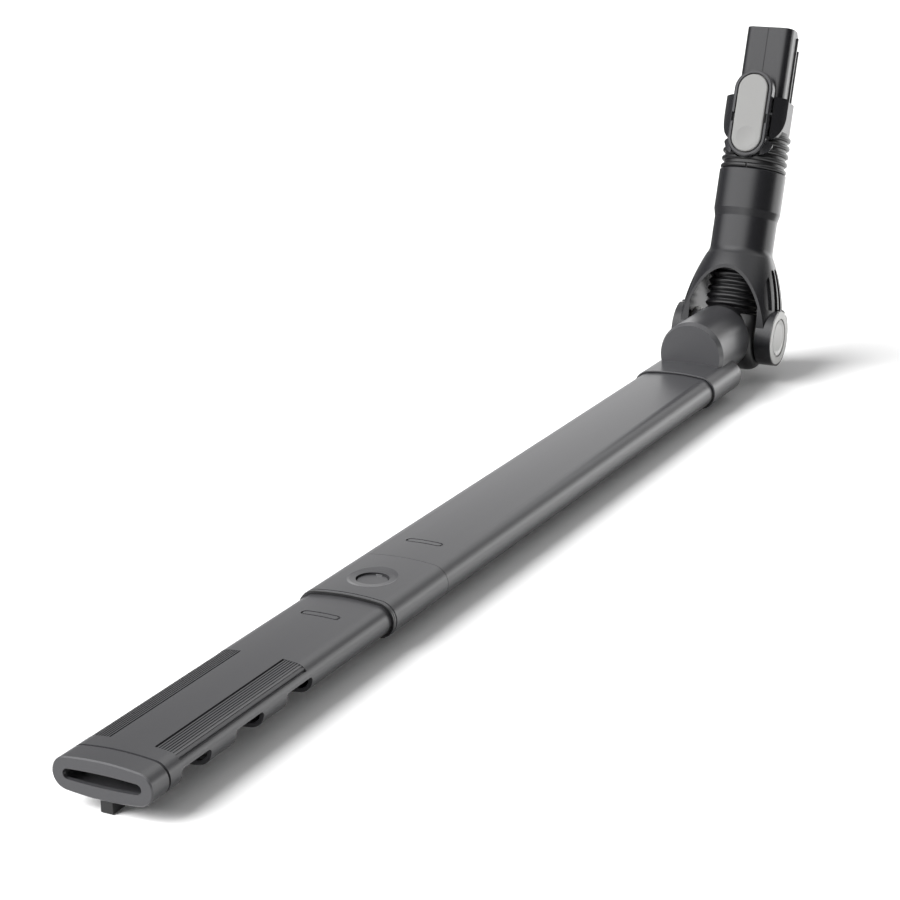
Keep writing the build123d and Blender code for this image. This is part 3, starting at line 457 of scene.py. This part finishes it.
def photo_camera():
    """The camera that took the photograph."""
    camera = bpy.data.cameras.new("camera")
    camera.sensor_width = SENSOR_MM
    camera.lens = LENS_MM
    camera.clip_start = CLIP_START
    made = bpy.data.objects.new("camera", camera)
    level = math.cos(CAMERA_ELEVATION)
    forward = np.array([
        -math.sin(CAMERA_AZIMUTH) * level, math.cos(CAMERA_AZIMUTH) * level,
        -math.sin(CAMERA_ELEVATION),
    ])
    right = np.array([math.cos(CAMERA_AZIMUTH), math.sin(CAMERA_AZIMUTH), 0.0])
    up = np.cross(right, forward)
    turned_right = right * math.cos(CAMERA_ROLL) + up * math.sin(CAMERA_ROLL)
    turned_up = -right * math.sin(CAMERA_ROLL) + up * math.cos(CAMERA_ROLL)
    placed = np.eye(4)
    placed[:3] = np.stack([turned_right, turned_up, -forward, CAMERA_FROM_HINGE + HINGE], 1)
    made.matrix_world = Matrix(placed.tolist())
    bpy.context.scene.collection.objects.link(made)
    return made


class WAND_OT_stage(bpy.types.Operator):
    """Pale floor, soft studio lights, white surroundings and the camera."""

    bl_idname = "wand.stage"
    bl_label = "Set the stage"

    def execute(self, context):
        stage = context.scene.wand_stage
        scene = context.scene
        scene.view_settings.view_transform = "Standard"
        staged = [paper_floor(FLOOR_HALF)] if stage.show_floor else []
        staged.append(sun_light("key", stage.bearing, stage.height, stage.sun, stage.softness))
        scene.world = surroundings(stage)
        scene.camera = photo_camera()
        return {"FINISHED"}


class WAND_PT_panel(bpy.types.Panel):
    """Lists the sizes, colours and build steps of the wand."""

    bl_label = "Vacuum wand"
    bl_idname = "WAND_PT_panel"
    bl_space_type = "VIEW_3D"
    bl_region_type = "UI"
    bl_category = "Wand"

    def draw(self, context):
        scene = context.scene
        for group in (scene.wand_hose, scene.wand_finish, scene.wand_stage):
            box = self.layout.box()
            for name in group.__annotations__:
                box.prop(group, name)
        for operator in OPERATORS:
            self.layout.operator(operator.bl_idname)


OPERATORS = (WAND_OT_mouldings, WAND_OT_hose, WAND_OT_stage)
GROUPS = (HoseSettings, FinishSettings, StageSettings)
CLASSES = GROUPS + OPERATORS + (WAND_PT_panel,)


def register():
    """Registers the classes and their settings."""
    for item in CLASSES:
        bpy.utils.register_class(item)
    bpy.types.Scene.wand_hose = PointerProperty(type=HoseSettings)
    bpy.types.Scene.wand_finish = PointerProperty(type=FinishSettings)
    bpy.types.Scene.wand_stage = PointerProperty(type=StageSettings)


def unregister():
    """Takes out what register added."""
    del bpy.types.Scene.wand_stage
    del bpy.types.Scene.wand_finish
    del bpy.types.Scene.wand_hose
    for item in reversed(CLASSES):
        bpy.utils.unregister_class(item)


def main():
    """Builds the looks."""
    register()
    bpy.ops.wand.mouldings()
    bpy.ops.wand.hose()
    bpy.ops.wand.stage()


if __name__ == "__main__":
    main()
